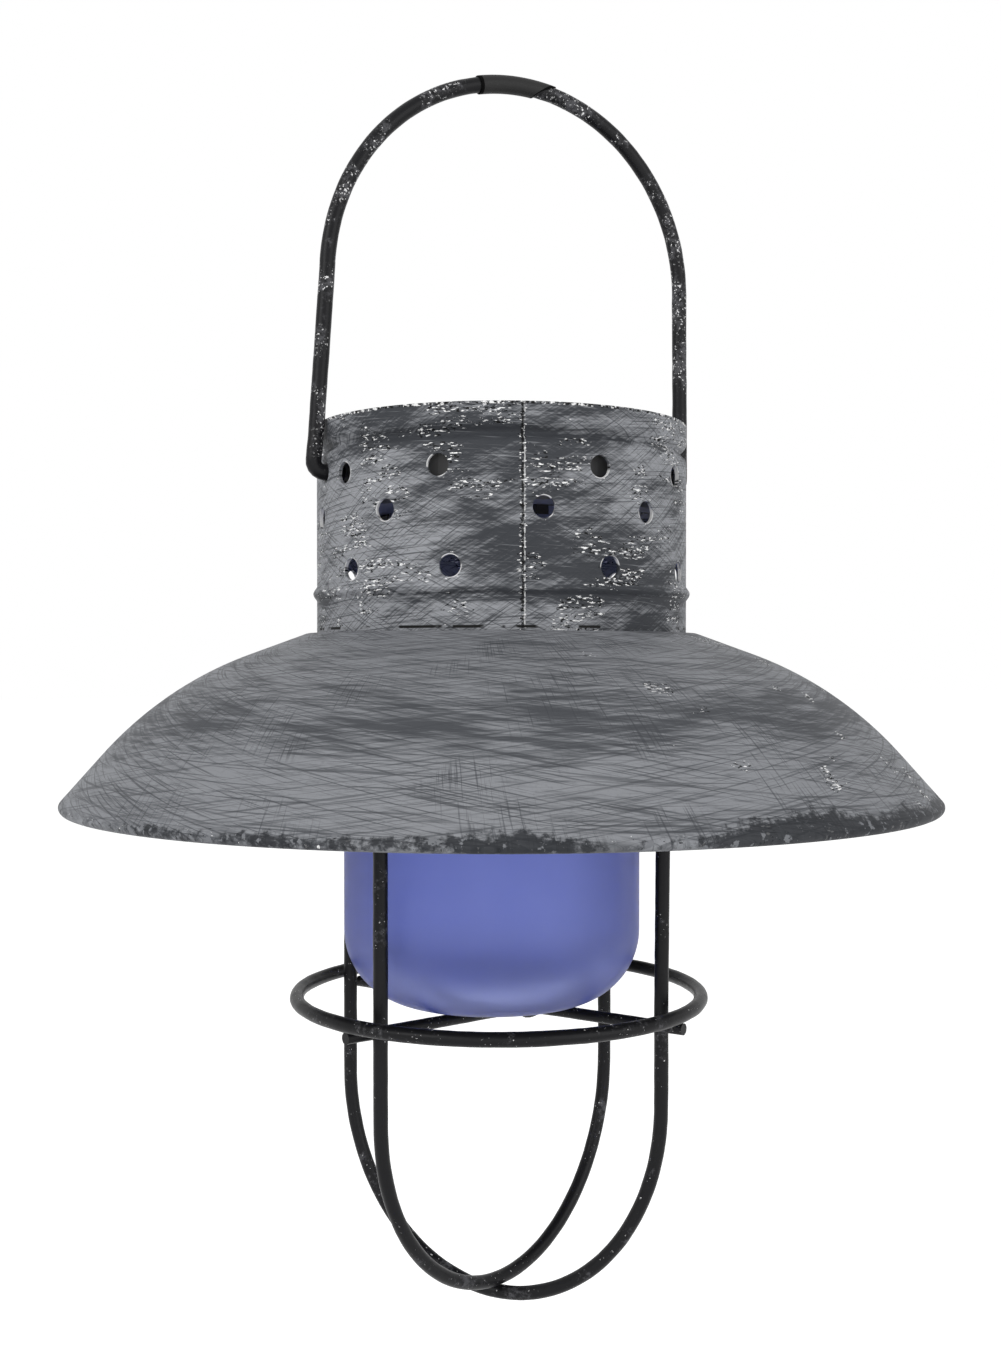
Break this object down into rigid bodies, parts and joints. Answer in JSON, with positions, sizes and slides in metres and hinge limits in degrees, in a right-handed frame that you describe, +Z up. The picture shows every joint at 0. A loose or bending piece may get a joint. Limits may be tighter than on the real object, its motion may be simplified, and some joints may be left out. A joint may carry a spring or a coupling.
{
  "type": "solar hanging lantern",
  "caption": "Hanging lantern: swinging wire bail, perforated sheet chimney with a wide dished shade, wire cage, blue glass cup and a lift-out solar light unit.",
  "frame": {"origin": "underside of the bail's crown on the lantern's axis, where a hook carries it", "axes": "+Z up along the lantern's axis, +X along the bail's pivot axis, -Y towards the front"},
  "size_m": [0.21, 0.2104, 0.3007],
  "materials": {
    "sheet": "distressed zinc grey",
    "wire": "worn charcoal",
    "blue_glass": "translucent, glossy",
    "black_plastic": "fine moulded",
    "grey_plastic": "fine moulded",
    "rubber": "smooth",
    "silicon": "satin under resin",
    "clear": "clear",
    "steel": "plated",
    "battery_wrap": "shrink film over steel",
    "board": "solder resist",
    "lamp": "clear resin",
    "reflector": "silvered",
    "red_lead": "insulation",
    "black_lead": "insulation"
  },
  "bodies": {
    "bail": {"bail_wire": "wire", "crown_sleeve": "wire"},
    "lantern_body": {"chimney": "sheet", "shade": "sheet", "hoop_upper": "wire", "hoop_lower": "wire", "guard_ring": "wire", "cross_bar_over": "wire", "cross_bar_under": "wire"},
    "glass": {"glass_cup": "blue_glass"},
    "solar_unit": {"unit_housing": "black_plastic", "unit_cover": "black_plastic", "seal_ring": "rubber", "solar_cell": "silicon", "cell_window": "clear", "case_screw_1": "steel", "case_screw_2": "steel", "case_screw_3": "steel", "battery": "battery_wrap", "battery_spring": "steel", "contact_minus": "steel", "contact_plus": "steel", "circuit_board": "board", "led_lamp": "lamp", "light_collar": "reflector", "switch_case": "steel", "cell_lead_red": "red_lead", "cell_lead_black": "black_lead", "battery_lead_red": "red_lead", "battery_lead_black": "black_lead"},
    "door": {"battery_door": "black_plastic"},
    "switch": {"switch_slider": "grey_plastic"}
  },
  "joints": [
    {"name": "bail_swing", "type": "hinge", "parent": "bail", "child": "lantern_body", "pos_m": [0, 0, -0.09459], "axis": [1, 0, 0], "range_deg": [-120, 120]},
    {"name": "unit_lift", "type": "slide", "parent": "lantern_body", "child": "solar_unit", "axis": [0, 0, 1], "range_m": [0, 0.025]},
    {"name": "glass_lift", "type": "slide", "parent": "lantern_body", "child": "glass", "axis": [0, 0, 1], "range_m": [0, 0.016]},
    {"name": "battery_door_slide", "type": "slide", "parent": "solar_unit", "child": "door", "axis": [1, 0, 0], "range_m": [0, 0.006]},
    {"name": "switch_slide", "type": "slide", "parent": "solar_unit", "child": "switch", "axis": [1, 0, 0], "range_m": [0, 0.0034]}
  ]
}
